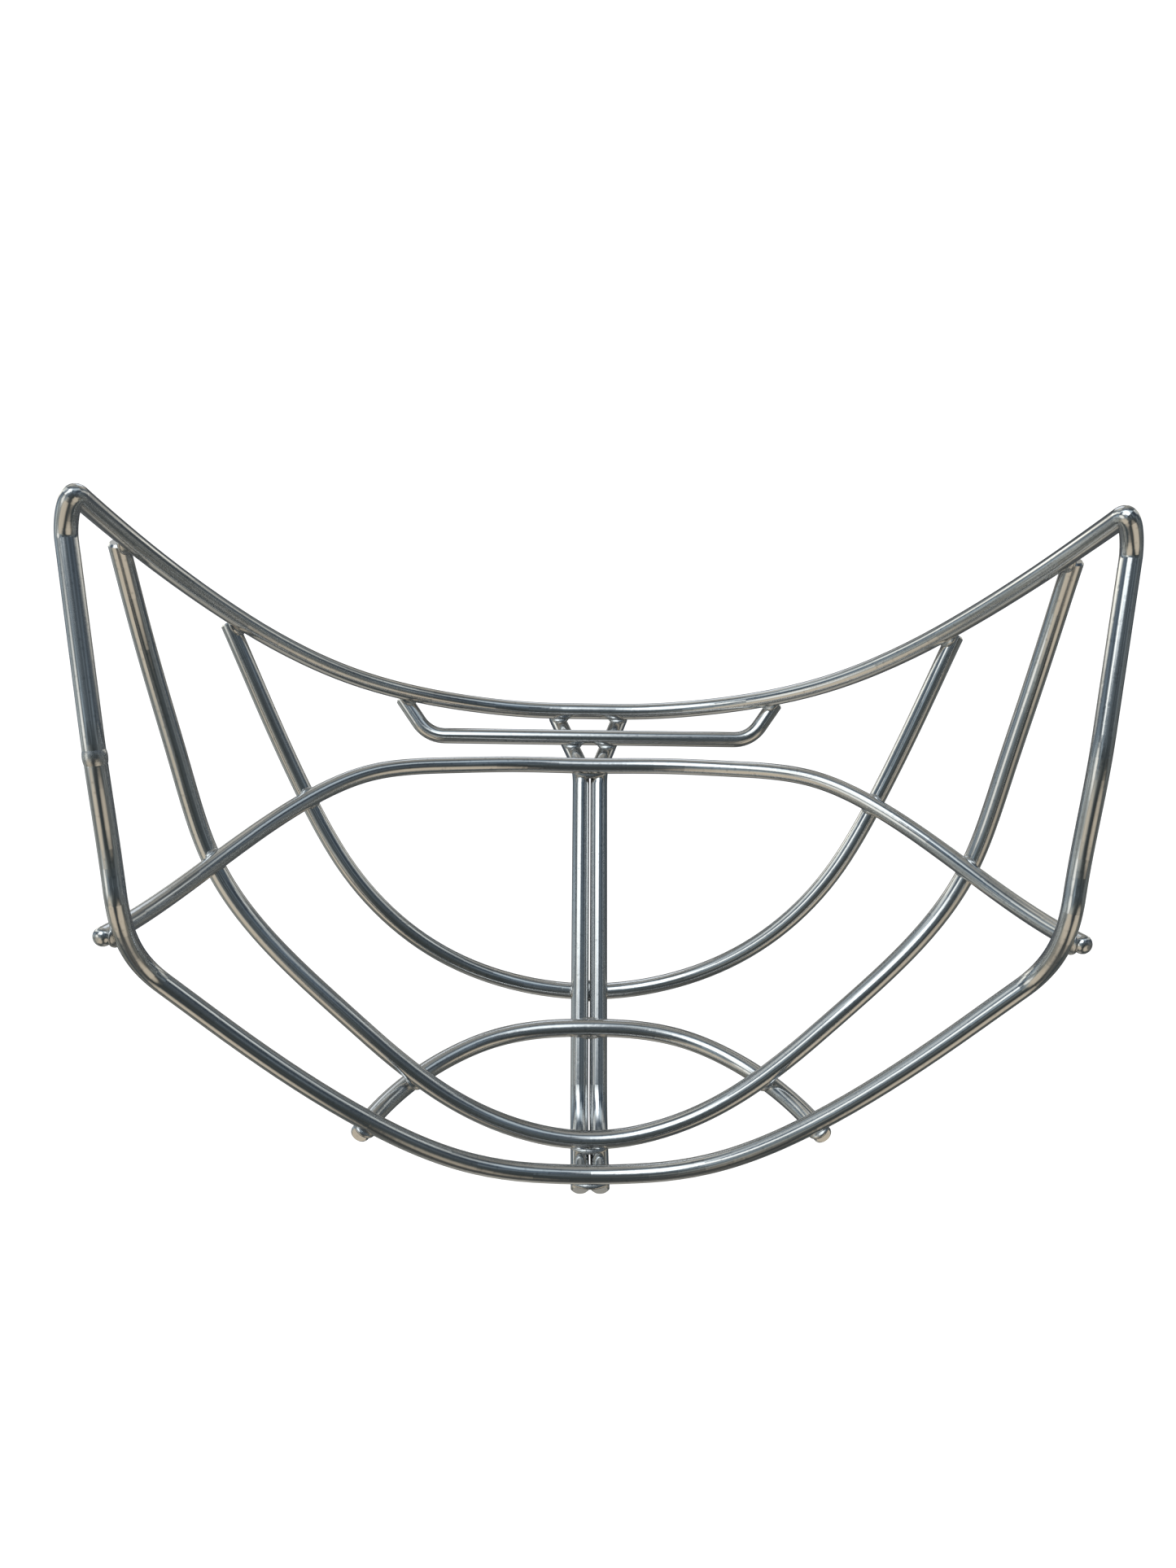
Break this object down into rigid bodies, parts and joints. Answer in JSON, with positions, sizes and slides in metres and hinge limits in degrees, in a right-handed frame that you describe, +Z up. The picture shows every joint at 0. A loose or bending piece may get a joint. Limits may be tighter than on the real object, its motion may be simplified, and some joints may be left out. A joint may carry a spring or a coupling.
{
  "type": "goalkeeper mask face cage",
  "caption": "Open wire face cage for an ice-hockey goalkeeper's mask: bent round wires welded where they cross, with two wide cat-eye openings.",
  "frame": {"origin": "axis of the rim wire at the middle of the forehead", "axes": "+Z up and -Y forward as worn, +X to the wearer's left, across the face"},
  "size_m": [0.2328, 0.1216, 0.1443],
  "materials": {
    "plated_wire": "bright nickel-like plating over steel wire, faintly pitted",
    "weld": "plated resistance weld, satin"
  },
  "bodies": {
    "root": {"perimeter_rim": "plated_wire", "centre_bar_left": "plated_wire", "centre_bar_right": "plated_wire", "brow_bar": "plated_wire", "inner_u_bar": "plated_wire", "outer_u_bar": "plated_wire", "chin_arch": "plated_wire", "forehead_bar": "plated_wire", "weld_fork_to_rim": "weld", "weld_forehead_bar_to_rim": "weld", "weld_forehead_bar_to_fork": "weld", "weld_brow_bar_to_side": "weld", "weld_inner_u_to_rim": "weld", "weld_outer_u_to_rim": "weld", "weld_chin_arch_to_rim": "weld", "weld_inner_u_to_brow_bar": "weld", "weld_outer_u_to_brow_bar": "weld", "weld_chin_arch_to_outer_u": "weld", "weld_bars_to_rim": "weld", "weld_bars_to_brow_bar": "weld", "weld_bars_to_inner_u": "weld", "weld_bars_to_outer_u": "weld", "weld_bars_to_chin_arch": "weld", "rim_butt_weld": "weld"}
  },
  "joints": []
}
